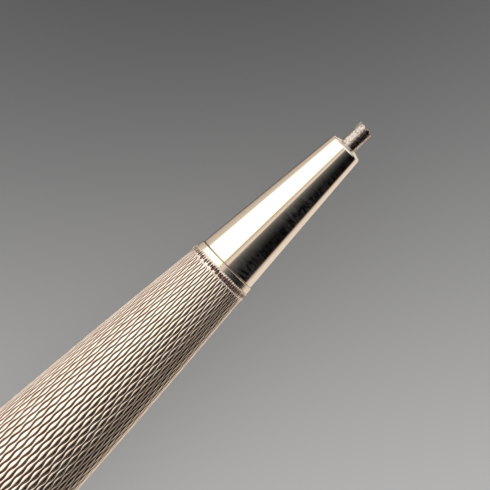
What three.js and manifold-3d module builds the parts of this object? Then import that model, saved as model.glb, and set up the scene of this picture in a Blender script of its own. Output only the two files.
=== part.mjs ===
// A twist-action mechanical pencil: a torpedo-shaped silver body with a plain nose cone and a pocket clip.
// Millimetres, +Z up. The axis lies along X with the tip towards +X. The pencil lies on the plane Z = 0
// the way it comes to rest on a desk: on the fattest part of its body and on the end of its clip.
// Stations, called s, are measured along the axis from the nose cone's front edge towards the rear.
import * as THREE from "three";
import { mergeVertices } from "three/addons/utils/BufferGeometryUtils.js";
import Module from "manifold-3d";

const wasm = await Module();
wasm.setup();

// Outside
const BODY_LENGTH = 138; // nose cone's front edge to the crown's end disc
const BODY_R = 5.47; // the fattest part of the body
const FATTEST = [74, 86]; // between these stations the body is straight
const LEAD_R = 0.59; // a 1.18 mm lead
const LEAD_OUT = 1.9; // the lead's end, ahead of the cone's front edge
const NOSE_DOME = 0.155; // the cone's front face bulges so far at its bore
const CONE_END = 11.24; // seam between cone and barrel
const CONE_FRONT_R = 1.21;
const CONE_TAPER = 0.0885; // radius gained per millimetre of cone
const BARREL_END = 77; // the turning seam between barrel and cap
const RING_END = 79;
const CAP_END = 127;
const COLLAR_END = 131.5;
const SEAM = 0.05; // joint line between two outside pieces
const SHELL = 0.37; // wall of the silver shells
const LINER = [0.4, 0.7]; // depths of the liners' faces below the outside

// Feed: the cap turns a spiral, and the spiral walks a pin along a slot
const PITCH = 4; // advance of the lead per turn of the cap
const PIN_AT = 55; // the follower pin's station at rest
const PIN_R = 0.5;
const FEED = [-4, 22]; // the carrier's travel from rest, backwards and forwards
const GUIDE_R = [1.1, 1.38]; // slotted guide tube, inside and outside
const SPIRAL_R = [1.46, 2.08];
const SPIRAL_GAP = 1.3; // clear width between the spiral's turns
const DRIVE = [29.5, 92.4]; // the tube that turns the spiral, front to rear
const DRIVE_R = [2.16, 2.5];
const DISC_FROM = 90; // the disc that joins it to the cap
const DISCS_R = 4.2; // the retaining collar and the washer, either side of the journal's flange
const TENON_R = 4.7; // journal on which the cap turns

// Clip
const CLIP_WIDTH = 2.8;
const CLIP_TIP = 94; // station of its free end
const CLIP_TIP_R = 7.3; // outer face of its free end
const PIVOT = { s: 128.6, r: 5.5 };
const PIVOT_PIN_R = 0.4;

// The frame: origin under the middle of the box that holds the pencil. The clip leans so far from
// straight down that its lower outer corner meets the plane that the body lies on.
const clipCorner = Math.hypot(CLIP_TIP_R, CLIP_WIDTH / 2);
const clipCornerTurn = Math.atan2(CLIP_WIDTH / 2, CLIP_TIP_R);
const CLIP_LEAN = Math.acos(BODY_R / clipCorner) + clipCornerTurn;
const clipReach = clipCorner * Math.sin(CLIP_LEAN + clipCornerTurn);
const FRONT_X = (BODY_LENGTH - LEAD_OUT) / 2;
const xAt = (s) => FRONT_X - s;

const barrelRadius = (s) => BODY_R - 0.00081 * Math.max(0, FATTEST[0] - s) ** 2;
const capRadius = (s) => BODY_R - 0.000475 * Math.max(0, s - FATTEST[1]) ** 2;
const coneRadius = (s) => CONE_FRONT_R + CONE_TAPER * s;

const metal = (color, roughness) => new THREE.MeshStandardMaterial({ color, roughness, metalness: 1 });
const plain = (color, roughness) => new THREE.MeshStandardMaterial({ color, roughness, metalness: 0 });
const polishedSilver = metal(0xf0e4d4, 0.08);
const engravedSilver = metal(0xe6d8c6, 0.2);
const brass = metal(0xc9a34e, 0.3);
const steel = metal(0xb4b4b2, 0.3);
const graphite = plain(0x3a3a3c, 0.5);
const eraserRubber = plain(0xe9e4da, 0.9);
const nylon = plain(0xe4ddcb, 0.6);

const pencil = new THREE.Group();
pencil.position.set(0, (clipReach - BODY_R) / 2, BODY_R);

// The clip's pieces are drawn standing on the +Z side of the axis, then turned to the side they lie on.
const clipSide = new THREE.Group();
clipSide.rotation.x = Math.PI - CLIP_LEAN;
pencil.add(clipSide);

function add(name, geometry, material, parent = pencil) {
  const mesh = new THREE.Mesh(geometry, material);
  mesh.name = name;
  parent.add(mesh);
}

// A turned piece: an outline of [station, radius] points, closed through the axis or on itself.
function turned(outline, sides = 24) {
  const points = outline.map(([s, r]) => new THREE.Vector2(r, xAt(s)));
  const onAxis = points[0].x === 0 && points.at(-1).x === 0;
  if (THREE.ShapeUtils.area(points) < 0) points.reverse();
  if (!onAxis) points.push(points[0].clone());
  return new THREE.LatheGeometry(points, sides).rotateZ(-Math.PI / 2);
}

const tube = (from, to, inner, outer, sides) =>
  turned([[from, inner], [from, outer], [to, outer], [to, inner]], sides);

const rod = (from, to, r, sides = 16) => turned([[from, 0], [from, r], [to, r], [to, 0]], sides);

// Stations from one end to the other, both included, in equal steps.
const stations = (from, to, steps) =>
  Array.from({ length: steps + 1 }, (_, i) => from + ((to - from) * i) / steps);

// A wall that follows a radius formula between two depths below it.
function wall(radius, from, to, [depthOut, depthIn], steps, sides) {
  const outside = stations(from, to, steps).map((s) => [s, radius(s) - depthOut]);
  const inside = stations(to, from, steps / 2).map((s) => [s, radius(s) - depthIn]);
  return turned([...outside, ...inside], sides);
}

// A flat plate from a closed outline of [station, height] points, centred on the plane of the clip.
function plate(outline, thickness, offset = 0) {
  const shape = new THREE.Shape(outline.map(([s, r]) => new THREE.Vector2(xAt(s), r)));
  const geometry = new THREE.ExtrudeGeometry(shape, { depth: thickness, bevelEnabled: false });
  return geometry.rotateX(Math.PI / 2).translate(0, offset + thickness / 2, 0);
}

const crossRod = ({ s, r }, radius, length) =>
  new THREE.CylinderGeometry(radius, radius, length, 16).translate(xAt(s), 0, r);

function toSolid(geometry) {
  const bare = geometry.clone();
  bare.deleteAttribute("normal");
  bare.deleteAttribute("uv");
  const merged = mergeVertices(bare, 1e-4);
  const triVerts = new Uint32Array(merged.index.array);
  const vertProperties = merged.attributes.position.array;
  return new wasm.Manifold(new wasm.Mesh({ numProp: 3, vertProperties, triVerts }));
}

function toGeometry(solid) {
  const mesh = solid.getMesh();
  const geometry = new THREE.BufferGeometry();
  geometry.setAttribute("position", new THREE.BufferAttribute(mesh.vertProperties, 3));
  geometry.setIndex(new THREE.BufferAttribute(mesh.triVerts, 1));
  geometry.computeVertexNormals();
  return geometry;
}

// Nose and front bush: the cone screws on to the bush, and the bush fills the front of the barrel.
const BUSH = [9.3, 25.5];
const BUSH_NECK_R = 1.7;
function noseCone() {
  const leadBore = LEAD_R + 0.03;
  const rearBore = 1.12;
  const socketR = BUSH_NECK_R + 0.03;
  const edge = 0.24;
  const outside = [[-NOSE_DOME, leadBore], [0, CONE_FRONT_R - 0.15], [edge, coneRadius(edge)]];
  const socket = [[CONE_END, coneRadius(CONE_END)], [CONE_END, socketR], [9, socketR], [8.8, rearBore]];
  return turned([...outside, ...socket, [3.5, rearBore], [3, leadBore]], 48);
}

function frontBush() {
  const [from, to] = BUSH;
  const bore = GUIDE_R[1] + 0.04;
  const neckEnd = 12;
  const inBarrel = stations(neckEnd + 0.2, to, 6).map((s) => [s, barrelRadius(s) - LINER[0]]);
  return turned([[from, bore], [from, BUSH_NECK_R], [neckEnd, BUSH_NECK_R], ...inBarrel, [to, bore]]);
}

// The journal stands out of the barrel's rear. Its inner flange is trapped between two discs of the cap.
const JOURNAL = [70, 89.4];
const JOURNAL_BORE = 4.3;
const FLANGE_FROM = 87.9;
function bearingJournal() {
  const [from, to] = JOURNAL;
  const flangeBore = 3.3;
  const flange = [[to, flangeBore], [FLANGE_FROM, flangeBore], [FLANGE_FROM, JOURNAL_BORE]];
  return turned([[from, JOURNAL_BORE], [from, TENON_R], [to, TENON_R], ...flange], 32);
}

// A tube with a straight slot along its +Z side, as long as the follower pin's travel.
function guideTube() {
  const from = PIN_AT - FEED[1] - 1.5;
  const to = PIN_AT - FEED[0] + 1.5;
  const slot = new THREE.BoxGeometry(to - from, 2 * PIN_R + 0.14, 2).translate(xAt((from + to) / 2), 0, 1);
  return toGeometry(toSolid(tube(9.1, 66.5, ...GUIDE_R)).subtract(toSolid(slot)));
}

// A flat strip wound into a spiral: a long box with its length wrapped round the axis. The space
// between its turns passes over the follower pin, which stands on the +Z side.
function spiralStrip() {
  const from = 30;
  const turns = 7.25;
  const width = PITCH - SPIRAL_GAP;
  const start = from + width / 2;
  const turnsToPin = (PIN_AT - start) / PITCH - 0.5;
  const strip = new THREE.BoxGeometry(turns, 1, width, turns * 20, 1, 1);
  const points = strip.attributes.position;
  for (let i = 0; i < points.count; i++) {
    const turn = points.getX(i) + turns / 2;
    const r = points.getY(i) < 0 ? SPIRAL_R[0] : SPIRAL_R[1];
    const angle = Math.PI / 2 + 2 * Math.PI * (turn - turnsToPin);
    const s = start + PITCH * turn + points.getZ(i);
    points.setXYZ(i, xAt(s), r * Math.cos(angle), r * Math.sin(angle));
  }
  return strip;
}

// Lead carrier: a rod that holds the lead's rear end in a socket and has a cross hole for its pin.
const CARRIER = [36, 57];
const LEAD_END = 39;
function leadCarrier() {
  const socket = [[LEAD_END + 0.1, 0], [LEAD_END + 0.1, LEAD_R + 0.03], [CARRIER[0], LEAD_R + 0.03]];
  const body = turned([...socket, [CARRIER[0], 1], [CARRIER[1], 1], [CARRIER[1], 0]]);
  const hole = new THREE.CylinderGeometry(PIN_R + 0.03, PIN_R + 0.03, 2, 16).rotateX(Math.PI / 2);
  return toGeometry(toSolid(body).subtract(toSolid(hole.translate(xAt(PIN_AT), 0, 1))));
}

const followerPin = () =>
  new THREE.CylinderGeometry(PIN_R, PIN_R, 1.85, 16).rotateX(Math.PI / 2).translate(xAt(PIN_AT), 0, 1.025);

// Magazine for spare leads, closed in front by a plug and behind by the eraser's ferrule
const MAGAZINE = [70, 124.5];
const MAGAZINE_R = [1.75, 2.1];
const SPARE_LEADS = 5;
const SPARE_LEAD_LENGTH = 50;

const magazinePlug = () =>
  turned([[68.5, 0], [68.5, 2.1], [69.95, 2.1], [69.95, 1.71], [71.5, 1.71], [71.5, 0]]);

function spareLead(i) {
  const turn = (2 * Math.PI * i) / SPARE_LEADS;
  const offAxis = 1.07;
  const from = MAGAZINE[0] + 1.8;
  const lead = rod(from, from + SPARE_LEAD_LENGTH, LEAD_R, 12);
  return lead.translate(0, offAxis * Math.cos(turn), offAxis * Math.sin(turn));
}

// Eraser, its ferrule and the crown that covers them
const FERRULE_END = 131;
function eraserFerrule() {
  const plug = [[122.3, 0], [122.3, 1.71], [124.55, 1.71], [124.55, 2.75]];
  return turned([...plug, [FERRULE_END, 2.75], [FERRULE_END, 2.45], [127.5, 2.45], [127.5, 0]]);
}

const eraser = () => turned([[127.55, 0], [127.55, 2.4], [134.8, 2.4], [135.2, 2], [135.2, 0]]);

const CROWN_FROM = COLLAR_END + SEAM;
const CROWN_BORE = 3.66;
const DISC = { r: 2.9, depth: 0.7, gap: 0.03 };
const CROWN_END_R = 3.2;

// The crown carries on the cap's taper and rounds over to its flat end.
function crownRadius(s) {
  const along = (s - CROWN_FROM) / (BODY_LENGTH - CROWN_FROM);
  return CROWN_END_R + (capRadius(CROWN_FROM) - CROWN_END_R) * Math.sqrt(1 - along ** 3);
}

function crownShell() {
  const floor = BODY_LENGTH - DISC.depth - DISC.gap;
  const recess = [[floor, 0], [floor, DISC.r + DISC.gap], [BODY_LENGTH, DISC.r + DISC.gap]];
  const outside = stations(BODY_LENGTH, CROWN_FROM, 8).map((s) => [s, crownRadius(s)]);
  return turned([...recess, ...outside, [CROWN_FROM, CROWN_BORE], [136.2, CROWN_BORE], [136.2, 0]], 48);
}

// Clip collar: a ring with a tenon into the cap, a sleeve for the crown and two ears for the clip's pin.
function clipCollar() {
  const bore = 3.1;
  const inCap = stations(121.6, CAP_END, 2).map((s) => [s, capRadius(s) - LINER[0]]);
  const ring = [[CAP_END + SEAM, capRadius(CAP_END)], [COLLAR_END, capRadius(COLLAR_END)]];
  const sleeve = [[COLLAR_END, 3.6], [135, 3.6], [135, bore]];
  let solid = toSolid(turned([[121.6, bore], ...inCap, [CAP_END + SEAM, 4.2], ...ring, ...sleeve], 48));
  const ear = [[PIVOT.s + 0.8, 4.2], [PIVOT.s + 0.8, PIVOT.r + 0.3], [PIVOT.s + 0.4, PIVOT.r + 0.7]];
  const mirrored = ear.map(([s, r]) => [2 * PIVOT.s - s, r]).reverse();
  for (const side of [-1, 1]) solid = solid.add(toSolid(plate([...ear, ...mirrored], 0.65, side * 1.8)));
  return toGeometry(solid.subtract(toSolid(crossRod(PIVOT, PIVOT_PIN_R + 0.03, 6))));
}

// The clip: a bar that swings on the pin, with a bump under its free end that rests on the cap
function clipBar() {
  const bump = stations(0, 180, 6).map((turn) => {
    const angle = THREE.MathUtils.degToRad(turn);
    return [CLIP_TIP + 2 + 1.3 * Math.cos(angle), 6.2 - 0.7 * Math.sin(angle)];
  });
  const inner = [[PIVOT.s + 2.4, 5.25], [PIVOT.s + 0.6, 4.95], [PIVOT.s - 1.2, 5.05], [PIVOT.s - 5, 5.9]];
  const outer = [[CLIP_TIP, CLIP_TIP_R - 0.5], [CLIP_TIP + 0.5, CLIP_TIP_R], [CLIP_TIP + 2.5, CLIP_TIP_R]];
  const root = [[PIVOT.s - 5, 6.6], [PIVOT.s, 6.15], [PIVOT.s + 2.4, 5.9]];
  const bar = toSolid(plate([...inner, ...bump, ...outer, ...root], CLIP_WIDTH));
  return toGeometry(bar.subtract(toSolid(crossRod(PIVOT, PIVOT_PIN_R + 0.03, 4))));
}

// A bent leaf between the collar and the clip's tail
function clipSpring() {
  const from = PIVOT.s + 0.9;
  const top = [[from, 4.86], [from + 0.6, 4.86], [from + 1.5, 4.96]];
  const under = [[from + 1.5, 4.84], [from + 0.6, 4.7], [from, 4.7]];
  return plate([...top, ...under], 2);
}

const inSeam = BARREL_END + SEAM;
const discBore = DRIVE_R[1] + 0.03;

add("nose_cone", noseCone(), polishedSilver);
add("front_bush", frontBush(), brass);
add("barrel_shell", wall(barrelRadius, CONE_END + SEAM, BARREL_END, [0, SHELL], 14, 48), engravedSilver);
add("barrel_liner", wall(barrelRadius, 26, BARREL_END - 0.5, LINER, 8, 32), brass);
add("bearing_journal", bearingJournal(), brass);
add("guide_tube", guideTube(), brass);

add("lead", rod(-LEAD_OUT, LEAD_END, LEAD_R), graphite);
add("lead_carrier", leadCarrier(), nylon);
add("follower_pin", followerPin(), steel);

add("centre_ring", tube(inSeam, RING_END, BODY_R - LINER[1], BODY_R, 48), polishedSilver);
add("cap_shell", wall(capRadius, RING_END + SEAM, CAP_END, [0, SHELL], 14, 48), engravedSilver);
add("cap_liner", wall(capRadius, RING_END + SEAM, 121, LINER, 8, 32), brass);
add("spiral", spiralStrip(), steel);
add("drive_tube", tube(...DRIVE, ...DRIVE_R), brass);
add("tube_bearing", tube(63.4, 66.4, GUIDE_R[1] + 0.04, DRIVE_R[0] - 0.03), nylon);
add("retaining_collar", tube(86.2, FLANGE_FROM - 0.1, discBore, DISCS_R), steel);
add("friction_washer", tube(JOURNAL[1] + 0.1, DISC_FROM - 0.1, discBore, DISCS_R), steel);
add("drive_disc", tube(DISC_FROM, DRIVE[1], discBore, TENON_R, 32), brass);
add("magazine_tube", tube(...MAGAZINE, ...MAGAZINE_R), brass);
add("magazine_plug", magazinePlug(), nylon);
add("magazine_holder", tube(119, 121, MAGAZINE_R[1] + 0.04, 4.1), nylon);
for (let i = 0; i < SPARE_LEADS; i++) add(`spare_lead_${i + 1}`, spareLead(i), graphite);

add("clip_collar", clipCollar(), polishedSilver, clipSide);
add("clip_pin", crossRod(PIVOT, PIVOT_PIN_R, 4.2), steel, clipSide);
add("clip_spring", clipSpring(), steel, clipSide);
add("clip", clipBar(), polishedSilver, clipSide);

add("eraser_ferrule", eraserFerrule(), brass);
add("eraser", eraser(), eraserRubber);
add("crown", crownShell(), polishedSilver);
add("crown_disc", rod(BODY_LENGTH - DISC.depth, BODY_LENGTH, DISC.r, 32), engravedSilver);

export default pencil;
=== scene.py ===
"""A twist-action mechanical pencil of engraved silver, lying on a pale desk.

The axis lies along X with the tip towards +X. Stations, called s, are millimetres from the nose
cone's front face towards the rear, radii are millimetres from the axis, and turns are radians from
+Y towards +Z.
"""
from math import cos, pi, radians, sin, sqrt

import bpy
import numpy as np
from mathutils import Matrix, Vector, noise


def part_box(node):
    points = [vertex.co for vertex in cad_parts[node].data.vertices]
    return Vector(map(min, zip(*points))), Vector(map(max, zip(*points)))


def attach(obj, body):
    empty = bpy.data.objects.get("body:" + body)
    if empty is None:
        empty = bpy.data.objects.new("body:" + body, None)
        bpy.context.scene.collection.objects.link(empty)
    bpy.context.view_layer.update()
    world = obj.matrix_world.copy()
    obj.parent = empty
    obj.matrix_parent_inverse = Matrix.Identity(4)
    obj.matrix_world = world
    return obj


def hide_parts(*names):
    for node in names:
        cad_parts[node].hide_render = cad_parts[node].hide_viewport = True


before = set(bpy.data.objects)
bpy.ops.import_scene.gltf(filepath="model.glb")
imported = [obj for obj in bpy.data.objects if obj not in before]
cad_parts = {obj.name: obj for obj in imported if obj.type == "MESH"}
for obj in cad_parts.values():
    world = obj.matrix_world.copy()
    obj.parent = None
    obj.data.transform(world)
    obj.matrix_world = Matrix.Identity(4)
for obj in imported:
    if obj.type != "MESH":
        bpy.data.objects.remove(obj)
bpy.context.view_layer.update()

MM = 0.001

# Places taken from the frame
BODY_LENGTH = 138  # nose cone's front edge to the crown's end disc
cone_low, cone_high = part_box("nose_cone")
barrel_low, barrel_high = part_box("barrel_shell")
FRONT_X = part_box("crown")[0].x + BODY_LENGTH * MM
AXIS_Y = (barrel_low.y + barrel_high.y) / 2
AXIS_Z = (barrel_low.z + barrel_high.z) / 2
BODY_R = (barrel_high.z - barrel_low.z) / 2 / MM
CONE_R = (cone_high.z - cone_low.z) / 2 / MM  # at its wide end


def station(node):
    """Where a CAD node begins and ends along the axis."""
    low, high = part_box(node)
    return (FRONT_X - high.x) / MM, (FRONT_X - low.x) / MM


NOSE_FROM, CONE_END = station("nose_cone")
BARREL_FROM, BARREL_TO = station("barrel_shell")
RING_FROM, RING_TO = station("centre_ring")
CAP_FROM, CAP_TO = station("cap_shell")
CROWN_FROM, CROWN_TO = station("crown")
CLIP_TIP, CLIP_TAIL = station("clip")
COLLAR_FROM, COLLAR_TO = station("clip_collar")
ERASER_FROM, ERASER_TO = station("eraser")
LEAD_TIP, LEAD_END = station("lead")

# The clip stands off to one side: these are the direction from the axis to its middle, and across it
pin_low, pin_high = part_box("clip_pin")
pin_y = (pin_low.y + pin_high.y) / 2 - AXIS_Y
pin_z = (pin_low.z + pin_high.z) / 2 - AXIS_Z
PIVOT_S = (FRONT_X - (pin_low.x + pin_high.x) / 2) / MM
PIVOT_R = sqrt(pin_y**2 + pin_z**2) / MM
CLIP_OUT = Vector((0, pin_y, pin_z)).normalized()
CLIP_ACROSS = Vector((1, 0, 0)).cross(CLIP_OUT)

# The body's outline: straight at its fattest, and a parabola on either side
FATTEST = (74, 86)
AHEAD_CURVE, BEHIND_CURVE = 0.00081, 0.000475  # radius lost per square millimetre
CONE_TAPER = 0.0885  # radius lost per millimetre
WALL = 0.37  # thickness of the shells


def body_radius(s):
    ahead = np.maximum(0, FATTEST[0] - s)
    behind = np.maximum(0, s - FATTEST[1])
    return BODY_R - AHEAD_CURVE * ahead**2 - BEHIND_CURVE * behind**2


def cone_radius(s):
    return CONE_R - CONE_TAPER * (CONE_END - s)


# Mesh making


def place(s, r, turn):
    """Points in the row frame, in metres, from stations, radii and turns."""
    s, r, turn = np.broadcast_arrays(s, r, turn)
    x = FRONT_X - s * MM
    y = AXIS_Y + r * np.cos(turn) * MM
    z = AXIS_Z + r * np.sin(turn) * MM
    return np.stack([x, y, z], axis=-1)


def grid_faces(rows, columns, first=0):
    """Quads between rows of points that run round the axis, facing out if rows go rearward."""
    i, j = np.meshgrid(np.arange(rows - 1), np.arange(columns), indexing="ij")
    row, next_row, next_j = i * columns, (i + 1) * columns, (j + 1) % columns
    quads = [row + j, next_row + j, next_row + next_j, row + next_j]
    return np.stack(quads, axis=-1).reshape(-1, 4) + first


def new_object(name, points, faces, material, smooth_angle=35):
    """A mesh in the row frame. Edges that bend by more than smooth_angle degrees are crisp."""
    mesh = bpy.data.meshes.new(name)
    points = np.asarray(points, float).reshape(-1, 3)
    faces = [f if isinstance(f, (list, tuple)) else f.tolist() for f in faces]
    mesh.from_pydata(points.tolist(), [], faces)
    mesh.validate()
    mesh.shade_smooth()
    if smooth_angle:
        mesh.set_sharp_from_angle(angle=radians(smooth_angle))
    mesh.materials.append(material)
    obj = bpy.data.objects.new(name, mesh)
    bpy.context.scene.collection.objects.link(obj)
    return obj


def finish_piece(obj, body, node):
    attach(obj, body)
    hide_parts(node)


def turned(name, outline, material, columns=256, smooth_angle=35):
    """A turned piece from an outline of (station, radius), which starts and ends on the axis, or
    else is closed on itself."""
    outline = np.array(outline, float)
    on_axis = outline[0, 1] == 0 and outline[-1, 1] == 0
    turns = np.linspace(0, 2 * pi, columns, endpoint=False)
    inner = outline[1:-1] if on_axis else np.vstack([outline, outline[:1]])
    rows = len(inner)
    points = place(inner[:, :1], inner[:, 1:], turns[None, :]).reshape(-1, 3)
    if on_axis:
        faces = list(grid_faces(rows, columns))
        ends = place(outline[[0, -1], 0], 0.0, 0.0)
        points = np.vstack([points, ends])
        last = (rows - 1) * columns
        for j in range(columns):
            k = (j + 1) % columns
            faces.append([rows * columns, j, k])
            faces.append([rows * columns + 1, last + k, last + j])
    else:
        faces = grid_faces(rows, columns) % (columns * (rows - 1))
        points = points[: columns * (rows - 1)]
    return new_object(name, points, faces, material, smooth_angle)


# Materials


class Nodes:
    """A short way to write a node tree."""

    def __init__(self, tree):
        self.tree = tree

    def add(self, kind, values=None, **settings):
        node = self.tree.nodes.new("ShaderNode" + kind)
        for key, value in settings.items():
            setattr(node, key, value)
        for key, value in (values or {}).items():
            self.feed(node.inputs[key], value)
        return node

    def feed(self, socket, value):
        if hasattr(value, "is_output"):
            self.tree.links.new(value, socket)
        else:
            socket.default_value = value

    def math(self, operation, *values):
        node = self.add("Math", operation=operation)
        for i, value in enumerate(values):
            self.feed(node.inputs[i], value)
        return node.outputs[0]

    def mix(self, factor, a, b):
        node = self.add("Mix", data_type="RGBA")
        self.feed(node.inputs["Factor"], factor)
        self.feed(node.inputs[6], a)
        self.feed(node.inputs[7], b)
        return node.outputs[2]

    def span(self, value, from_low, from_high, to_low=0, to_high=1):
        names = ("Value", "From Min", "From Max", "To Min", "To Max")
        node = self.add("MapRange", dict(zip(names, (value, from_low, from_high, to_low, to_high))))
        return node.outputs["Result"]

    def noise(self, scale, detail=3.0, stretch=(1, 1, 1), turn=(0, 0, 0)):
        """Noise in the row frame. scale is in cycles per metre along an unstretched axis."""
        where = self.add("TexCoord").outputs["Object"]
        mapping = self.add("Mapping", {"Vector": where, "Scale": stretch, "Rotation": turn})
        values = {"Vector": mapping.outputs[0], "Scale": scale, "Detail": detail}
        return self.add("TexNoise", values).outputs[0]


def material(name, colour, roughness, metallic=0.0):
    """A new material, its shader and its node writer."""
    made = bpy.data.materials.new(name)
    made.use_nodes = True
    shader = made.node_tree.nodes["Principled BSDF"]
    shader.inputs["Base Color"].default_value = (*colour, 1)
    shader.inputs["Roughness"].default_value = roughness
    shader.inputs["Metallic"].default_value = metallic
    return made, shader, Nodes(made.node_tree)


def bump(nodes, shader, height, strength, distance):
    """Fine unevenness, distance metres deep."""
    node = nodes.add("Bump", {"Height": height, "Strength": strength, "Distance": distance})
    nodes.feed(shader.inputs["Normal"], node.outputs[0])


SILVER = (0.94, 0.89, 0.82)
SILVER_WARM = (0.90, 0.81, 0.71)
TARNISH = (0.165, 0.056, 0.036)


def polished_silver(name="polished_silver", smooth=0.04, marked=0.25):
    """Bright silver with fine turning marks round the axis, hairline scratches and a hazy film."""
    made, shader, nodes = material(name, SILVER, smooth, 1.0)
    cloud = nodes.noise(260, 4)
    turning = nodes.noise(1000, 4, stretch=(4, 0.3, 0.3))
    scratch = nodes.noise(1400, 2, stretch=(0.2, 5, 5), turn=(0.2, 0.5, 0.3))
    streak = nodes.noise(1800, 3, stretch=(3, 1, 1))
    tint = nodes.span(cloud, 0.35, 0.7, 0, 0.5)
    nodes.feed(shader.inputs["Base Color"], nodes.mix(tint, (*SILVER, 1), (*SILVER_WARM, 1)))
    in_clouds = nodes.span(cloud, 0.35, 0.65, 0.2)
    worn = nodes.math("MULTIPLY", nodes.span(turning, 0.45, 0.7), in_clouds)
    nodes.feed(shader.inputs["Roughness"], nodes.span(worn, 0, 1, smooth, marked))
    in_clouds = nodes.span(cloud, 0.35, 0.6, 0.15)
    film = nodes.math("MULTIPLY", nodes.span(streak, 0.38, 0.62), in_clouds)
    nodes.feed(shader.inputs["Coat Weight"], film)
    shader.inputs["Coat Roughness"].default_value = 0.75
    shader.inputs["Coat IOR"].default_value = 1.7
    scratch = nodes.math("MULTIPLY", scratch, 0.2)
    height = nodes.math("ADD", nodes.math("MULTIPLY", turning, 0.8), scratch)
    bump(nodes, shader, height, 0.3, 0.000004)
    return made


def engraved_silver():
    """Cut silver: bright on the grains, and brown with tarnish in the cuts."""
    made, shader, nodes = material("engraved_silver", SILVER_WARM, 0.2, 1.0)
    depth = nodes.add("Attribute", attribute_name="cut").outputs["Fac"]
    cloud = nodes.noise(900, 3)
    soil = nodes.math("MULTIPLY", nodes.span(depth, 0, 0.2), nodes.span(cloud, 0.3, 0.7, 0.8))
    tint = nodes.span(cloud, 0.3, 0.7)
    bright = nodes.mix(tint, (0.95, 0.88, 0.79, 1), (0.88, 0.77, 0.68, 1))
    nodes.feed(shader.inputs["Base Color"], nodes.mix(soil, bright, (*TARNISH, 1)))
    nodes.feed(shader.inputs["Roughness"], nodes.span(soil, 0, 1, 0.2, 0.6))
    nodes.feed(shader.inputs["Metallic"], nodes.span(soil, 0, 1, 1, 0.1))
    bump(nodes, shader, nodes.noise(6000, 3), 0.35, 0.000008)
    return made


def graphite():
    """Pressed graphite: a metallic sheen broken up by mineral grains."""
    made, shader, nodes = material("graphite", (0.5, 0.46, 0.44), 0.25, 1.0)
    grain = nodes.noise(7000, 5)
    smear = nodes.noise(2500, 3, stretch=(0.4, 1, 1))
    grains = nodes.span(grain, 0.4, 0.55, 0.45)
    tone = nodes.math("MULTIPLY", grains, nodes.span(smear, 0.35, 0.55, 0.7))
    colour = nodes.mix(tone, (0.10, 0.085, 0.08, 1), (0.66, 0.59, 0.55, 1))
    nodes.feed(shader.inputs["Base Color"], colour)
    nodes.feed(shader.inputs["Roughness"], nodes.span(grain, 0.3, 0.7, 0.16, 0.3))
    bump(nodes, shader, grain, 0.35, 0.00001)
    return made


def brass():
    """Turned brass, duller in clouds."""
    made, shader, nodes = material("brass", (0.72, 0.52, 0.25), 0.25, 1.0)
    cloud = nodes.noise(400, 4)
    turning = nodes.noise(1200, 2, stretch=(5, 0.1, 0.1))
    dull = nodes.span(cloud, 0.35, 0.7)
    colour = nodes.mix(dull, (0.76, 0.56, 0.27, 1), (0.55, 0.37, 0.17, 1))
    nodes.feed(shader.inputs["Base Color"], colour)
    nodes.feed(shader.inputs["Roughness"], nodes.span(turning, 0.3, 0.7, 0.18, 0.36))
    bump(nodes, shader, turning, 0.4, 0.000006)
    return made


def steel():
    """Drawn spring steel."""
    made, shader, nodes = material("spring_steel", (0.58, 0.58, 0.57), 0.25, 1.0)
    cloud = nodes.noise(700, 4)
    turning = nodes.noise(2000, 2, stretch=(5, 0.2, 0.2))
    colour = nodes.mix(cloud, (0.62, 0.62, 0.61, 1), (0.48, 0.47, 0.46, 1))
    nodes.feed(shader.inputs["Base Color"], colour)
    nodes.feed(shader.inputs["Roughness"], nodes.span(turning, 0.3, 0.7, 0.18, 0.34))
    bump(nodes, shader, turning, 0.3, 0.000005)
    return made


def nylon():
    """Unpainted nylon, a little see-through."""
    made, shader, nodes = material("nylon", (0.80, 0.75, 0.64), 0.5)
    cloud = nodes.noise(500, 4)
    colour = nodes.mix(cloud, (0.83, 0.79, 0.69, 1), (0.74, 0.68, 0.56, 1))
    nodes.feed(shader.inputs["Base Color"], colour)
    nodes.feed(shader.inputs["Roughness"], nodes.span(cloud, 0.3, 0.7, 0.42, 0.6))
    shader.inputs["Subsurface Weight"].default_value = 0.15
    shader.inputs["Subsurface Scale"].default_value = 0.001
    bump(nodes, shader, nodes.noise(6000, 2), 0.2, 0.00001)
    return made


def eraser_rubber():
    """Soft white vinyl, a little grey where it has rubbed."""
    made, shader, nodes = material("eraser_rubber", (0.84, 0.82, 0.78), 0.8)
    cloud = nodes.noise(450, 5)
    fine = nodes.noise(3500, 4)
    grainy = nodes.span(fine, 0.4, 0.6, 0.3)
    smudge = nodes.math("MULTIPLY", nodes.span(cloud, 0.5, 0.75), grainy)
    colour = nodes.mix(smudge, (0.86, 0.84, 0.80, 1), (0.46, 0.44, 0.43, 1))
    nodes.feed(shader.inputs["Base Color"], colour)
    nodes.feed(shader.inputs["Roughness"], nodes.span(fine, 0.3, 0.7, 0.7, 0.92))
    shader.inputs["Subsurface Weight"].default_value = 0.2
    shader.inputs["Subsurface Scale"].default_value = 0.0008
    bump(nodes, shader, fine, 0.5, 0.00003)
    return made


POLISHED = polished_silver()
SATIN = polished_silver("satin_silver", 0.2, 0.34)
ENGRAVED = engraved_silver()
GRAPHITE = graphite()
BRASS = brass()
STEEL = steel()
NYLON = nylon()
RUBBER = eraser_rubber()

# Shapes


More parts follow.
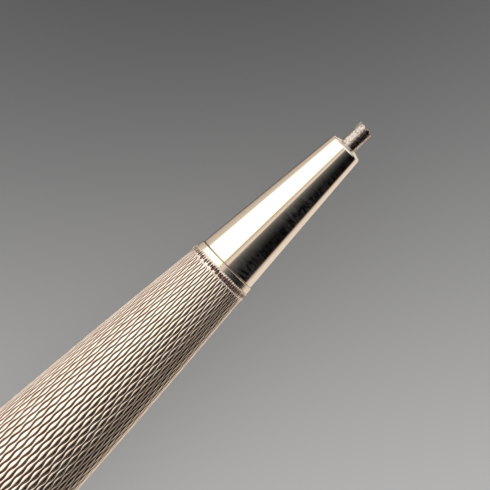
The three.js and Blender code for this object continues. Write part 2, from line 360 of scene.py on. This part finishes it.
# The engraving: wavy cuts along the body. Neighbouring cuts wave against each other, so that
# crowned grains like barleycorns stand between them in a brick pattern.
CUTS = 76
WAVE = 1.23  # length of one grain
WAVER = 0.2  # how far a cut swings, as a share of the distance between cuts
UNEVEN = 0.12  # how far one cut's wave may differ from the next
CUT_SHARE = 0.165  # half the width of a cut, as a share of that distance
CUT_SLOPE = 0.95  # of a cut's sides
GRAIN_SLOPE = 0.8  # of a grain's crowned top, where it meets the cut
GRAIN_LEAN = 0.18  # slope of the whole top, from the graver being held aslant
ENGRAVING_SEED = 5
LAG = 3  # radians by which a cut's wave is shifted, times its unevenness
FADE_OVER = 0.06  # length over which the cuts run out at the engraving's ends
FADED = 0.3  # share of their depth that is left there
ACROSS = 8  # mesh columns between two cuts
PER_WAVE = 10  # mesh rows in one wave
SKIN_PIECE = 17  # longest stretch of engraving in one mesh

# The rings at the engraving's ends
EDGE_LENGTH = 0.46
MILLED_LENGTH = 0.56
MILLED_SEED = 11
MILLED_PROUD, HOLLOW_DEPTH = 0.075, 0.16
# A big and a small hollow: place across the pair, half width, half length, and how far ahead
HOLLOWS = ((0.29, 0.26, 0.7, 0), (0.79, 0.17, 0.54, 0.16))


def tube_points(outside, from_s, to_s, turn):
    """The outside points of a tube wall with its inner face added, as one list, and its faces."""
    rows, columns = outside.shape[:2]
    inner_s = np.array([[to_s], [from_s]])
    ring = np.broadcast_to(turn, (rows, columns))[[-1, 0]]
    inside = place(inner_s, body_radius(inner_s) - WALL, ring)
    points = np.concatenate([outside, inside]).reshape(-1, 3)
    faces = grid_faces(rows + 3, columns) % ((rows + 2) * columns)
    return points, faces


def store_cut(mesh, amount):
    """Keeps how deep each outside point lies in a cut, for the material."""
    values = np.zeros(len(mesh.vertices), np.float32)
    values[: amount.size] = np.clip(amount, 0, 1).reshape(-1)
    mesh.attributes.new("cut", "FLOAT", "POINT").data.foreach_set("value", values)


def engraved_skin(name, start, end, from_s, to_s, body, node):
    """One stretch of engraved wall. start and end are the whole engraving's ends."""
    rows = max(4, round((to_s - from_s) / WAVE * PER_WAVE)) + 1
    s = np.linspace(from_s, to_s, rows)[:, None]
    random = np.random.default_rng(ENGRAVING_SEED)
    swing, lag = (1 + UNEVEN * random.uniform(-1, 1, (2, CUTS)))[:, np.r_[:CUTS, 0]]
    cut = np.arange(CUTS + 1)[None, :]
    wave = 2 * pi * (s - start) / WAVE + pi * (cut % 2) + LAG * (lag - 1)
    lines = cut + WAVER * swing * np.cos(wave)
    left, right = lines[:, :-1, None], lines[:, 1:, None]
    radius = body_radius(s)
    spacing = (2 * pi * radius / CUTS)[:, :, None]
    width = (right - left) * spacing
    shoulder = CUT_SHARE / (right - left)  # where a cut ends, as a share of the grain's width
    steps = np.arange(ACROSS - 1) / (ACROSS - 2)
    share = np.concatenate([0 * shoulder, shoulder + (1 - 2 * shoulder) * steps], axis=2)
    where = (left + (right - left) * share).reshape(rows, -1)
    into = np.maximum(0, 1 - np.minimum(share, 1 - share) / shoulder)
    crown = GRAIN_SLOPE / 4 * (width * (2 * share - 1) ** 2 + (1 + 2 * WAVER) * spacing - width)
    crown = crown + GRAIN_LEAN * width * (1 - share)
    depth = (CUT_SLOPE * CUT_SHARE * spacing * into + crown).reshape(rows, -1)
    fade = np.clip(np.minimum(s - start, end - s) / FADE_OVER, FADED, 1)
    turn = where * 2 * pi / CUTS
    points, faces = tube_points(place(s, radius - fade * depth, turn), from_s, to_s, turn)
    obj = new_object(name, points, faces, ENGRAVED, None)
    mark_cuts(obj.data, rows, CUTS * ACROSS)
    store_cut(obj.data, fade * into.reshape(rows, -1))
    finish_piece(obj, body, node)


def mark_cuts(mesh, rows, columns):
    """Keeps the bottom of every cut, and the piece's rims, crisp."""
    pairs = np.empty(len(mesh.edges) * 2, np.int32)
    mesh.edges.foreach_get("vertices", pairs)
    a, b = pairs.reshape(-1, 2).T
    along = (a % columns == b % columns) & (a % ACROSS == 0)
    rim = (a // columns == b // columns) & np.isin(a // columns, [0, rows - 1])
    layer = mesh.attributes.new("sharp_edge", "BOOLEAN", "EDGE")
    layer.data.foreach_set("value", along | rim)


def milled_ring(name, from_s, to_s, body, node):
    """A half-round ring with hollows punched into it, big and small by turns."""
    rows, pairs, per_pair = 25, CUTS // 2, 28
    s = np.linspace(from_s, to_s, rows)[:, None]
    turn = np.linspace(0, 2 * pi, pairs * per_pair, endpoint=False)[None, :]
    along = 2 * (s - from_s) / (to_s - from_s) - 1  # -1 to 1 from rim to rim
    pair = (turn * pairs / (2 * pi)).astype(int)
    across = turn * pairs / (2 * pi) - pair
    random = np.random.default_rng(MILLED_SEED)
    bowl = 0
    for middle, half_width, half_length, ahead in HOLLOWS:
        size = random.uniform(0.78, 1.08, pairs)[pair]
        aside, drift = random.uniform(-0.05, 0.05, (2, pairs))[:, pair]
        wide = (across - middle - aside) / half_width
        long = (along + ahead - 2 * drift) / half_length
        bowl = np.maximum(bowl, np.sqrt(np.maximum(0, 1 - (wide**2 + long**2) / size)))
    brim = 0.9 + 0.1 * np.cos(4 * pi * (across - HOLLOWS[0][0]))
    swell = np.sqrt(np.maximum(0, 1 - (along / brim) ** 2))
    sunk = 0.01  # the ring's rims lie this much below the plain edge
    surface = np.minimum(body_radius(s) - sunk + MILLED_PROUD * swell, BODY_R)
    outside = place(s, surface - HOLLOW_DEPTH * bowl, turn)
    points, faces = tube_points(outside, from_s, to_s, turn)
    obj = new_object(name, points, faces, ENGRAVED, 60)
    store_cut(obj.data, 1.6 * bowl)
    finish_piece(obj, body, node)


def plain_edge(name, from_s, to_s, body, node):
    """The smooth rim of a silver shell, its outer corners just broken."""
    edge = 0.03
    inner = body_radius(to_s) - WALL
    outline = [
        (from_s, body_radius(from_s) - WALL), (from_s, body_radius(from_s) - edge),
        (from_s + edge, body_radius(from_s + edge)),
        *[(s, body_radius(s)) for s in np.linspace(from_s + edge, to_s - edge, 4)[1:]],
        (to_s, body_radius(to_s) - edge), (to_s, inner),
    ]
    finish_piece(turned(name, outline, SATIN), body, node)


def engraved_shell(name, from_s, to_s, body, node):
    """A silver shell: at each end a plain edge and a milled ring, and engraving between."""
    start = from_s + EDGE_LENGTH + MILLED_LENGTH
    end = to_s - EDGE_LENGTH - MILLED_LENGTH
    plain_edge(f"{name}_front_edge", from_s, from_s + EDGE_LENGTH, body, node)
    milled_ring(f"{name}_front_beads", from_s + EDGE_LENGTH, start, body, node)
    plain_edge(f"{name}_rear_edge", to_s - EDGE_LENGTH, to_s, body, node)
    milled_ring(f"{name}_rear_beads", end, to_s - EDGE_LENGTH, body, node)
    count = int(np.ceil((end - start) / SKIN_PIECE))
    stops = np.linspace(start, end, count + 1)
    for i in range(count):
        engraved_skin(f"{name}_engraving_{i + 1}", start, end, stops[i], stops[i + 1], body, node)


def nose_cone():
    """The cone has a domed front face, a rounded corner, and a socket for its bush behind."""
    bore, socket, edge_r, rounding, edge = 0.63, 1.75, 1.06, 0.25, 0.04
    dome = [(NOSE_FROM + 0.02, bore + 0.03), (NOSE_FROM + 0.045, 0.74), (NOSE_FROM + 0.095, 0.9)]
    corner = [(rounding * (1 - cos(a)), edge_r + (cone_radius(rounding) - edge_r) * sin(a))
              for a in np.linspace(0, pi / 2, 9)]
    side = [(s, cone_radius(s)) for s in np.linspace(0.6, CONE_END - edge, 12)]
    rear = [(CONE_END, CONE_R - edge), (CONE_END, socket), (9, socket), (8.8, 1.12)]
    inside = [(3.5, 1.12), (3, bore), (NOSE_FROM + 0.05, bore)]
    obj = turned("nose_cone_polished", [*dome, *corner, *side, *rear, *inside], POLISHED, 384, 45)
    finish_piece(obj, "barrel", "nose_cone")


def lead():
    """A stick of graphite with a rough side and a freshly broken end."""
    radius, rows, columns = 0.588, 90, 120
    turn = np.linspace(0, 2 * pi, columns, endpoint=False)
    near, far = LEAD_TIP + 0.14, 3.0  # the rough side runs between them
    stations = [*np.linspace(near, far, rows - 1), LEAD_END]
    # The broken end's rings: share of the radius, and how far each is sunk
    rings = [(0.25, 0.10), (0.5, 0.05), (0.72, 0.02), (0.88, 0.0), (0.97, 0.03)]

    def wobble(s, angle):
        where = Vector((s, cos(angle) * radius, sin(angle) * radius)) * 4.5
        return 0.012 * noise.fractal(where, 0.9, 2.2, 3)

    def broken(share, angle):
        """Station of the broken end: a slope, a step across it and crumbly grain."""
        across = share * cos(angle - 0.5)
        step = 0.05 if across > -0.2 else -0.05
        where = Vector((share * cos(angle) * 3.1, share * sin(angle) * 3.1, 4.2))
        grain = noise.fractal(where, 0.7, 2.3, 5)
        return max(near - step - 0.07 * across - 0.09 * grain, LEAD_TIP + 0.005)

    points = [place(broken(0, 0), 0.0, 0.0)]
    for share, sunk in rings:
        for angle in turn:
            points.append(place(broken(share, angle) + sunk * 0.3, share * radius, angle))
    for s in stations:
        for angle in turn:
            r = radius - 0.004 + wobble(s, angle) if s < far else radius
            at = max(s, broken(1, angle) + 0.03) if s == stations[0] else s
            points.append(place(at, min(r, 0.59), angle))
    points.append(place(LEAD_END, 0.0, 0.0))
    total = len(rings) + len(stations)
    last = 1 + (total - 1) * columns
    faces = [[0, 1 + j, 1 + (j + 1) % columns] for j in range(columns)]
    faces += grid_faces(total, columns, 1).tolist()
    faces += [[last + columns, last + (j + 1) % columns, last + j] for j in range(columns)]
    obj = new_object("lead_broken_end", np.array(points), faces, GRAPHITE, 30)
    finish_piece(obj, "feed", "lead")


def centre_ring():
    """A polished band with a fine groove near each edge."""
    edge, groove, inset, wall, r = 0.06, 0.07, 0.35, 0.7, BODY_R
    outline = [(RING_FROM, r - wall), (RING_FROM, r - edge), (RING_FROM + edge, r)]
    for centre in (RING_FROM + inset, RING_TO - inset):
        outline += [(centre - groove, r), (centre, r - groove), (centre + groove, r)]
    outline += [(RING_TO - edge, r), (RING_TO, r - edge), (RING_TO, r - wall)]
    obj = turned("centre_ring_polished", outline, POLISHED, 256, 25)
    finish_piece(obj, "cap", "centre_ring")


def crown():
    """The crown carries on the body's taper and rounds over to its flat end."""
    end_r, bore, bore_end = 3.2, 3.66, 136.2
    disc_r, disc_floor = 2.93, CROWN_TO - 0.73
    length = CROWN_TO - CROWN_FROM
    start_r = float(body_radius(CROWN_FROM))
    along = np.linspace(0, 1, 24) ** 0.7
    side = [(CROWN_FROM + length * t, end_r + (start_r - end_r) * sqrt(1 - t**3) - 0.01)
            for t in along]
    edge = [(CROWN_FROM, start_r - 0.06), (CROWN_FROM + 0.05, start_r - 0.01)]
    at, groove_r = CROWN_FROM + 0.7, start_r - 0.02
    side = [p for p in side if abs(p[0] - at) > 0.12 and p[0] > CROWN_FROM + 0.1]
    groove = [(at - 0.09, groove_r), (at, groove_r - 0.1), (at + 0.09, groove_r)]
    rim = [(CROWN_TO, end_r - 0.06), (CROWN_TO, disc_r + 0.05), (CROWN_TO - 0.05, disc_r)]
    inside = [(bore_end, 0), (bore_end, bore), (CROWN_FROM, bore)]
    recess = [(disc_floor, disc_r), (disc_floor, 0)]
    outline = [*inside, *edge, *groove, *side[:-1], *rim, *recess]
    obj = turned("crown_polished", outline, POLISHED, 256, 30)
    finish_piece(obj, "crown", "crown")


def crown_disc():
    """A plain inlaid disc, turned with fine rings round a small raised boss."""
    r, back, top = 2.9, CROWN_TO - 0.7, CROWN_TO - 0.01
    outline = [(back, 0), (back, r), (CROWN_TO - 0.06, r), (CROWN_TO - 0.02, r - 0.04)]
    for ring_r in np.arange(r - 0.3, 0.9, -0.2):
        outline += [(top, ring_r + 0.1), (CROWN_TO - 0.05, ring_r)]
    outline += [(top, 0.75), (CROWN_TO, 0.4), (CROWN_TO, 0)]
    obj = turned("crown_disc_turned", outline, POLISHED, 192, 12)
    finish_piece(obj, "crown", "crown_disc")


def eraser():
    """A round eraser, its end rounded over and rough from use."""
    r, worn, rough = 2.38, 0.7, 2.5
    side = [(s, r) for s in (ERASER_FROM, ERASER_FROM + 1, ERASER_FROM + 4)]
    corner = [(ERASER_TO - worn + worn * sin(a), r - worn + worn * cos(a))
              for a in np.linspace(0, pi / 2, 9)]
    outline = [(ERASER_FROM, 0), *side, *corner, (ERASER_TO, 0)]
    obj = turned("eraser_worn", outline, RUBBER, 96)
    for v in obj.data.vertices:
        if (FRONT_X - v.co.x) / MM > ERASER_TO - rough:
            v.co.x += 0.08 * MM * abs(noise.fractal(v.co * 900, 0.8, 2.1, 3))
    finish_piece(obj, "eraser_plug", "eraser")


def ferrule():
    """A thin brass cup, crimped round the eraser, with a stopper in front."""
    front, shoulder, floor, rim = 122.3, 124.55, 127.5, 131
    stopper_r, outer, inner = 1.71, 2.75, 2.45
    outline = [(front, 0), (front, 1.6), (front + 0.1, stopper_r), (shoulder, stopper_r)]
    outline += [(shoulder, 2.65), (shoulder + 0.1, outer)]
    for crimp in (126.2, 128.6, 129.3):
        outline += [(crimp - 0.18, outer), (crimp, 2.66), (crimp + 0.18, outer)]
    outline += [(rim - 0.05, outer), (rim, 2.7), (rim, 2.5), (rim - 0.05, inner)]
    outline += [(floor, inner), (floor, 0)]
    obj = turned("eraser_ferrule_crimped", outline, BRASS, 128, 25)
    finish_piece(obj, "eraser_plug", "eraser_ferrule")


def on_clip(s, height, across):
    """A point given by station, height over the axis and distance across the clip."""
    centre = Vector((FRONT_X - s * MM, AXIS_Y, AXIS_Z))
    return centre + CLIP_OUT * (height * MM) + CLIP_ACROSS * (across * MM)


def section(half_width, low, high, corner, steps=4):
    """A rounded box outline of (across, height), starting at the low right corner."""
    corner = min(corner, (high - low) / 2.001, half_width / 1.001)  # just short of meeting the next
    points = []
    centres = [(half_width - corner, low + corner, -90), (half_width - corner, high - corner, 0),
               (corner - half_width, high - corner, 90), (corner - half_width, low + corner, 180)]
    for x, y, start in centres:
        for a in np.radians(np.linspace(start, start + 90, steps + 1)):
            points.append((x + corner * cos(a), y + corner * sin(a)))
    return points


def loft(name, stations, material, smooth_angle=40):
    """A bar from sections of (station, half width, low, high, corner), closed at both ends."""
    rings = [[on_clip(s, height, across) for across, height in section(*size)]
             for s, *size in stations]
    columns = len(rings[0])
    faces = grid_faces(len(stations), columns)[:, ::-1].tolist()
    last = (len(stations) - 1) * columns
    faces.append(list(range(columns))[::-1])
    faces.append([last + j for j in range(columns)])
    return new_object(name, np.array(rings), faces, material, smooth_angle)


def clip():
    """A slim bar that widens a little to its end, with a round bump underneath."""
    tip, tail = CLIP_TIP, CLIP_TAIL
    top, corner = 7.3, 0.28
    bars = []
    for t in np.linspace(0, 1, 9):  # the rounded front end
        a = t * pi / 2
        s = tip + 0.02 + 0.75 * (1 - cos(a))
        low, high = 6.62 - 0.17 * sin(a), top - 0.45 * (1 - sin(a)) - 0.02
        bars.append((s, 0.5 + 0.9 * sin(a), low, high, corner))
    bump_s, bump_r, bump_height = tip + 2.2, 1.35, 0.93
    for s in np.linspace(tip + 0.9, tip + 4.2, 23):  # over the bump
        low = 6.45 - bump_height * sqrt(max(0.0, 1 - ((s - bump_s) / bump_r) ** 2))
        half, high = 1.4 - 0.02 * max(0, s - tip - 2.5), top - 0.02 * max(0, s - tip - 2.6)
        bars.append((s, half, low, high, corner))
    for s in np.linspace(tip + 5, PIVOT_S - 6, 12):  # the long slim stretch
        t = (s - tip - 5) / (PIVOT_S - 11 - tip)
        half = 1.36 - 0.26 * sin(pi * min(1, t) ** 0.8)
        bars.append((s, half, 6.43 - 0.45 * t, 7.23 - 0.62 * t, 0.3))
    for t in np.linspace(0, 1, 10):  # deeper round its pin, and clear of the spring behind it
        s = PIVOT_S - 5 + t * 7.3
        low = 5.92 - 0.9 * min(1, t * 1.9) ** 1.5 + 1.15 * max(0, t - 0.77)
        bars.append((s, 1.36, low, 6.55 - 0.62 * t**1.3, 0.25))
    bars.append((tail - 0.02, 1.1, 5.4, 5.8, 0.2))
    finish_piece(loft("clip_bar", sorted(bars), POLISHED), "clip", "clip")


def clip_collar():
    """A band with a tenon into the cap and a sleeve for the crown, and two ears for the clip's pin."""
    bore, sleeve, step, tenon, edge, seam = 3.1, 3.6, 4.2, 0.41, 0.04, 0.05
    start, end = COLLAR_FROM, COLLAR_TO
    front, rear = CAP_TO + seam, CROWN_FROM - seam
    outline = [
        (start, bore), (start, body_radius(start) - tenon), (CAP_TO, body_radius(CAP_TO) - tenon),
        (front, step), (front, body_radius(front) - edge),
        *[(s, body_radius(s)) for s in np.linspace(front + edge, rear - edge, 6)],
        (rear, body_radius(rear) - edge), (rear, sleeve),
        (end - 0.1, sleeve), (end, sleeve - 0.1), (end, bore),
    ]
    band = turned("clip_collar_band", outline, POLISHED)
    finish_piece(band, "cap", "clip_collar")

    half, hole, bevel, columns = 0.8, 0.43, 0.06, 48
    inner_face, outer_face = 1.475, 2.125  # across the clip
    centre = PIVOT_R - 0.1
    foot = centre - 4.2
    turn = np.linspace(0, 2 * pi, columns, endpoint=False)
    loops = []
    for side in (-1, 1):
        near, far = side * inner_face, side * outer_face
        edges = ((near, bevel), (near + side * bevel, 0), (far - side * bevel, 0), (far, bevel))
        for across, inset in edges:
            shrink = 1 - inset / half
            ring = []
            for a in turn:
                round_top = sin(a) > 0
                width = cos(a) if round_top else max(-1, min(1, 1.5 * cos(a)))
                height = half * sin(a) if round_top else foot * max(-1, 1.5 * sin(a))
                s = PIVOT_S + half * width * shrink
                ring.append(on_clip(s, centre + height * shrink, across))
            loops.append(ring)
        for across in (far, near):
            loops.append([on_clip(PIVOT_S + hole * cos(a), PIVOT_R + hole * sin(a), across)
                          for a in turn])
    per_ear = len(loops) // 2
    faces = grid_faces(per_ear + 1, columns) % (per_ear * columns)
    faces = np.vstack([faces[:, ::-1], faces + per_ear * columns])
    ears = new_object("clip_collar_ears", np.array(loops), faces, POLISHED)
    finish_piece(ears, "cap", "clip_collar")


def inner_pieces():
    """CAD pieces whose shape is already right get their finishes."""
    finishes = [
        (BRASS, ["front_bush", "barrel_liner", "bearing_journal", "guide_tube", "cap_liner",
                 "drive_tube", "drive_disc", "magazine_tube"]),
        (STEEL, ["follower_pin", "spiral", "retaining_collar", "friction_washer", "clip_pin",
                 "clip_spring"]),
        (NYLON, ["lead_carrier", "tube_bearing", "magazine_plug", "magazine_holder"]),
        (GRAPHITE, [f"spare_lead_{i + 1}" for i in range(5)]),
    ]
    for finish, names in finishes:
        for name in names:
            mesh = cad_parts[name].data
            mesh.materials.clear()
            mesh.materials.append(finish)


nose_cone()
lead()
engraved_shell("barrel", BARREL_FROM, BARREL_TO, "barrel", "barrel_shell")
centre_ring()
engraved_shell("cap", CAP_FROM, CAP_TO, "cap", "cap_shell")
crown()
crown_disc()
eraser()
ferrule()
clip()
clip_collar()
inner_pieces()


# Stage, light and camera


PHOTO_AIM = 9.5  # station in the middle of the picture
DESK_Z, GLOW_Z = -0.00002, -0.00001  # both sheets lie just under the pencil

# The desk's tones, and a soft painted shade that lies on it ahead of the tip
PALE, SHADE = 0.51, 0.085
DESK_PAINTED_GLOW = 0.55  # strength of a glow painted in the desk's own tones: painted light, not a lamp
DESK_COLOUR = 0.5  # its own colour, as a share of those tones
SHADE_TURN = radians(41)  # direction of the shade's middle from the aim, from +Y towards +X
SHADE_AWAY = 24  # millimetres from the aim to the shade's middle
SHADE_REACH = 54  # millimetres over which it fades towards the aim
SHADE_FAR = 2  # how much faster it fades on the far side
SHADE_LENGTH = 2.4  # how much longer it is than wide


def flat_sheet(name, made, height):
    """A very large sheet of the set."""
    reach = 3.0
    corners = [(reach * i, reach * j, height) for i, j in ((-1, -1), (1, -1), (1, 1), (-1, 1))]
    obj = new_object(name, np.array(corners), [[0, 1, 2, 3]], made, None)
    return obj


def desk():
    """A plain pale sheet with a soft painted shade ahead of the tip, and a painted glow in its own
    tones.
    """
    made, shader, nodes = material("desk", (0.3, 0.3, 0.3), 0.8)
    x = FRONT_X + (SHADE_AWAY * sin(SHADE_TURN) - PHOTO_AIM) * MM
    y = AXIS_Y + SHADE_AWAY * cos(SHADE_TURN) * MM
    where = nodes.add("TexCoord").outputs["Object"]
    placed = {"Vector": where, "Location": (x, y, 0), "Rotation": (0, 0, -SHADE_TURN),
              "Scale": (SHADE_LENGTH, 1, 1)}
    from_middle = nodes.add("Mapping", placed, vector_type="TEXTURE").outputs[0]
    along, beyond, _ = nodes.add("SeparateXYZ", {"Vector": from_middle}).outputs
    beyond = nodes.math("MAXIMUM", beyond, nodes.math("MULTIPLY", beyond, SHADE_FAR))
    squares = nodes.math("POWER", along, 2), nodes.math("POWER", beyond, 2)
    away = nodes.math("SQRT", nodes.math("ADD", *squares))
    # Painted shade: the tone runs from the shade's dark middle out to plain pale
    tone = nodes.add("MapRange", {"Value": away, "From Max": SHADE_REACH * MM},
                     interpolation_type="SMOOTHSTEP").outputs["Result"]
    tones = [(SHADE, SHADE, SHADE * 1.02, 1), (PALE, PALE * 0.99, PALE * 0.98, 1)]
    # Painted light: the desk glows in its own tones, painted shade included
    nodes.feed(shader.inputs["Emission Color"], nodes.mix(tone, *tones))
    colours = [tuple(DESK_COLOUR * c for c in colour) for colour in tones]
    nodes.feed(shader.inputs["Base Color"], nodes.mix(tone, *colours))
    shader.inputs["Emission Strength"].default_value = DESK_PAINTED_GLOW
    shader.inputs["Specular IOR Level"].default_value = 0.0
    flat_sheet("desk", made, DESK_Z)


# What the metal sees round the axis, by degrees from overhead, positive towards -Y. A broad white
# panel stands on the +Y side, and a dark room on the -Y side above cream paper.
PANEL = (1.0, 0.98, 0.92)
CREAM = (0.59, 0.51, 0.43)
BEIGE = (0.43, 0.36, 0.30)
BROWN = (0.28, 0.21, 0.15)
# The first stops, from -180 to about -146, below on the +Y side, are a painted shadow under the pencil.
SURROUNDINGS = [
    (-180, (0.03, 0.026, 0.024)), (-162, (0.03, 0.026, 0.024)), (-154, (0.045, 0.039, 0.035)),
    (-146, (0.08, 0.069, 0.06)), (-140, (0.20, 0.17, 0.145)), (-131, (0.37, 0.31, 0.26)),
    (-115, (0.44, 0.37, 0.31)), (-104, (0.47, 0.40, 0.33)), (-97, PANEL), (-22, PANEL),
    (-14, (0.84, 0.79, 0.66)), (-12, BROWN), (-9.5, BROWN), (-8, CREAM), (-5, BEIGE),
    (-3, CREAM), (3, CREAM),
    (7, (0.15, 0.13, 0.11)), (14, (0.09, 0.082, 0.076)), (20, (0.06, 0.056, 0.053)),
    (30, (0.034, 0.033, 0.032)), (40, (0.018, 0.018, 0.018)), (56, (0.003, 0.003, 0.003)),
    (94, (0.001, 0.001, 0.001)), (100, (0.02, 0.013, 0.01)), (103, (0.16, 0.12, 0.09)),
    (108, BEIGE), (118, CREAM), (145, CREAM), (165, (0.46, 0.41, 0.36)), (180, (0.40, 0.355, 0.31)),
]
LIGHT = 1.4
AXIS_OVER_SHEET = 0.006  # height of the point that those degrees are seen from, in metres

# Where the sheet below, as metal sees it, differs from those tones
PAPER = (0.46, 0.45, 0.43)
PAPER_FROM, PAPER_TO = 30, 55  # stations over which it turns to plain paper
STRIP_FROM, STRIP_TO = 1.0, 1.6  # millimetres ahead of the nose over which a cream strip begins
STRIP_HALF = 0.004, 0.006  # metres from the axis over which that strip ends
CLEAR_HALF = 0.0002, 0.0015  # metres from the axis over which it fades in from clear


def surroundings(nodes, aside, height):
    """The tones above, in the direction of a point so far aside, towards -Y, and so high."""
    ramp = nodes.add("ValToRGB")
    nodes.feed(ramp.inputs[0], nodes.span(nodes.math("ARCTAN2", aside, height), -pi, pi))
    elements = ramp.color_ramp.elements
    while len(elements) < len(SURROUNDINGS):
        elements.new(0.5)
    for element, (angle, colour) in zip(elements, SURROUNDINGS):
        element.position = (angle + 180) / 360
        element.color = (*colour, 1)
    return ramp.outputs[0]


def glow():
    """Painted reflections: a glowing sheet just over the desk that shows only in reflections and paints
    what the metal sees below it.
    """
    made = bpy.data.materials.new("glow")
    made.use_nodes = True
    nodes = Nodes(made.node_tree)
    x, y, _ = nodes.add("SeparateXYZ", {"Vector": nodes.add("TexCoord").outputs["Object"]}).outputs
    aside = nodes.math("SUBTRACT", AXIS_Y, y)
    from_axis = nodes.math("ABSOLUTE", aside)
    rear = nodes.span(x, FRONT_X - PAPER_FROM * MM, FRONT_X - PAPER_TO * MM)
    colour = nodes.mix(rear, surroundings(nodes, aside, -AXIS_OVER_SHEET), (*PAPER, 1))
    ahead = nodes.span(x, FRONT_X + STRIP_FROM * MM, FRONT_X + STRIP_TO * MM)
    close = nodes.span(from_axis, *STRIP_HALF, 1, 0)
    colour = nodes.mix(nodes.math("MULTIPLY", ahead, close), colour, (*CREAM, 1))
    light = nodes.add("Emission", {"Color": colour, "Strength": LIGHT})
    clear = nodes.add("BsdfTransparent")
    shown = nodes.span(from_axis, *CLEAR_HALF)
    blend = nodes.add("MixShader", {0: shown, 1: clear.outputs[0], 2: light.outputs[0]})
    nodes.feed(made.node_tree.nodes["Material Output"].inputs["Surface"], blend.outputs[0])
    obj = flat_sheet("glow", made, GLOW_Z)
    obj.visible_camera = obj.visible_diffuse = obj.visible_shadow = False
    obj.visible_transmission = obj.visible_volume_scatter = False


# The studio, by direction: x along the pencil, y across it and z up
MATT_LIGHT, MATT_SLOPE = 0.65, 0.55  # light on matt things, and how much more comes from +Y
SET_ENDS = 0.45, 0.62  # x over which the tones round the axis give way to a plain room
ROOM_RISE = -0.1, 0.9  # z over which that room goes from dark to light
ROOM_DARK, ROOM_LIGHT = (0.18, 0.178, 0.175), (1.0, 0.98, 0.95)
BACKDROP = (0.36, 0.36, 0.36)  # what the camera sees past the desk


def studio():
    """Soft light from all round: stronger from +Y on matt things, and the tones above on shiny ones."""
    world = bpy.data.worlds.new("studio")
    bpy.context.scene.world = world
    world.use_nodes = True
    nodes = Nodes(world.node_tree)
    background = world.node_tree.nodes["Background"]
    x, y, z = nodes.add("SeparateXYZ", {"Vector": nodes.add("TexCoord").outputs["Generated"]}).outputs
    round_axis = surroundings(nodes, nodes.math("MULTIPLY", y, -1.0), z)
    room = nodes.mix(nodes.span(z, *ROOM_RISE), (*ROOM_DARK, 1), (*ROOM_LIGHT, 1))
    colour = nodes.mix(nodes.span(nodes.math("ABSOLUTE", x), *SET_ENDS), round_axis, room)
    path = nodes.add("LightPath").outputs
    matt = nodes.math("MULTIPLY_ADD", y, MATT_SLOPE, MATT_LIGHT)
    colour = nodes.mix(path["Is Diffuse Ray"], colour, matt)
    colour = nodes.mix(path["Is Camera Ray"], colour, (*BACKDROP, 1))
    nodes.feed(background.inputs["Color"], colour)
    background.inputs["Strength"].default_value = LIGHT


PHOTO_FIELD = 33.0  # millimetres across the picture, at the axis
PHOTO_ASIDE = 0.1  # millimetres from the axis to the middle of the picture, towards +Y
CAMERA_DISTANCE = 0.5
TIP_NEARER = 1.8  # degrees by which the tip leans towards the camera
AXIS_IN_PICTURE = 44.4  # degrees above horizontal


def camera():
    """Almost straight over the front of the pencil, with the axis rising to the right."""
    data = bpy.data.cameras.new("camera")
    data.lens = data.sensor_width * CAMERA_DISTANCE / (PHOTO_FIELD * MM)
    data.clip_start = 0.01
    view = bpy.data.objects.new("camera", data)
    bpy.context.scene.collection.objects.link(view)
    back = Vector((sin(radians(TIP_NEARER)), 0, cos(radians(TIP_NEARER))))
    tip = Vector((1, 0, 0))
    tip_seen = (tip - back * tip.dot(back)).normalized()
    beside = back.cross(tip_seen)
    turn = radians(AXIS_IN_PICTURE)
    right = tip_seen * cos(turn) - beside * sin(turn)
    up = tip_seen * sin(turn) + beside * cos(turn)
    rotation = Matrix((right, up, back)).transposed()
    aim = Vector((FRONT_X - PHOTO_AIM * MM, AXIS_Y + PHOTO_ASIDE * MM, AXIS_Z))
    place_at = aim + back * CAMERA_DISTANCE
    view.matrix_world = Matrix.LocRotScale(place_at, rotation.to_quaternion(), None)
    bpy.context.scene.camera = view


desk()
glow()
studio()
camera()
bpy.context.scene.view_settings.view_transform = "Standard"
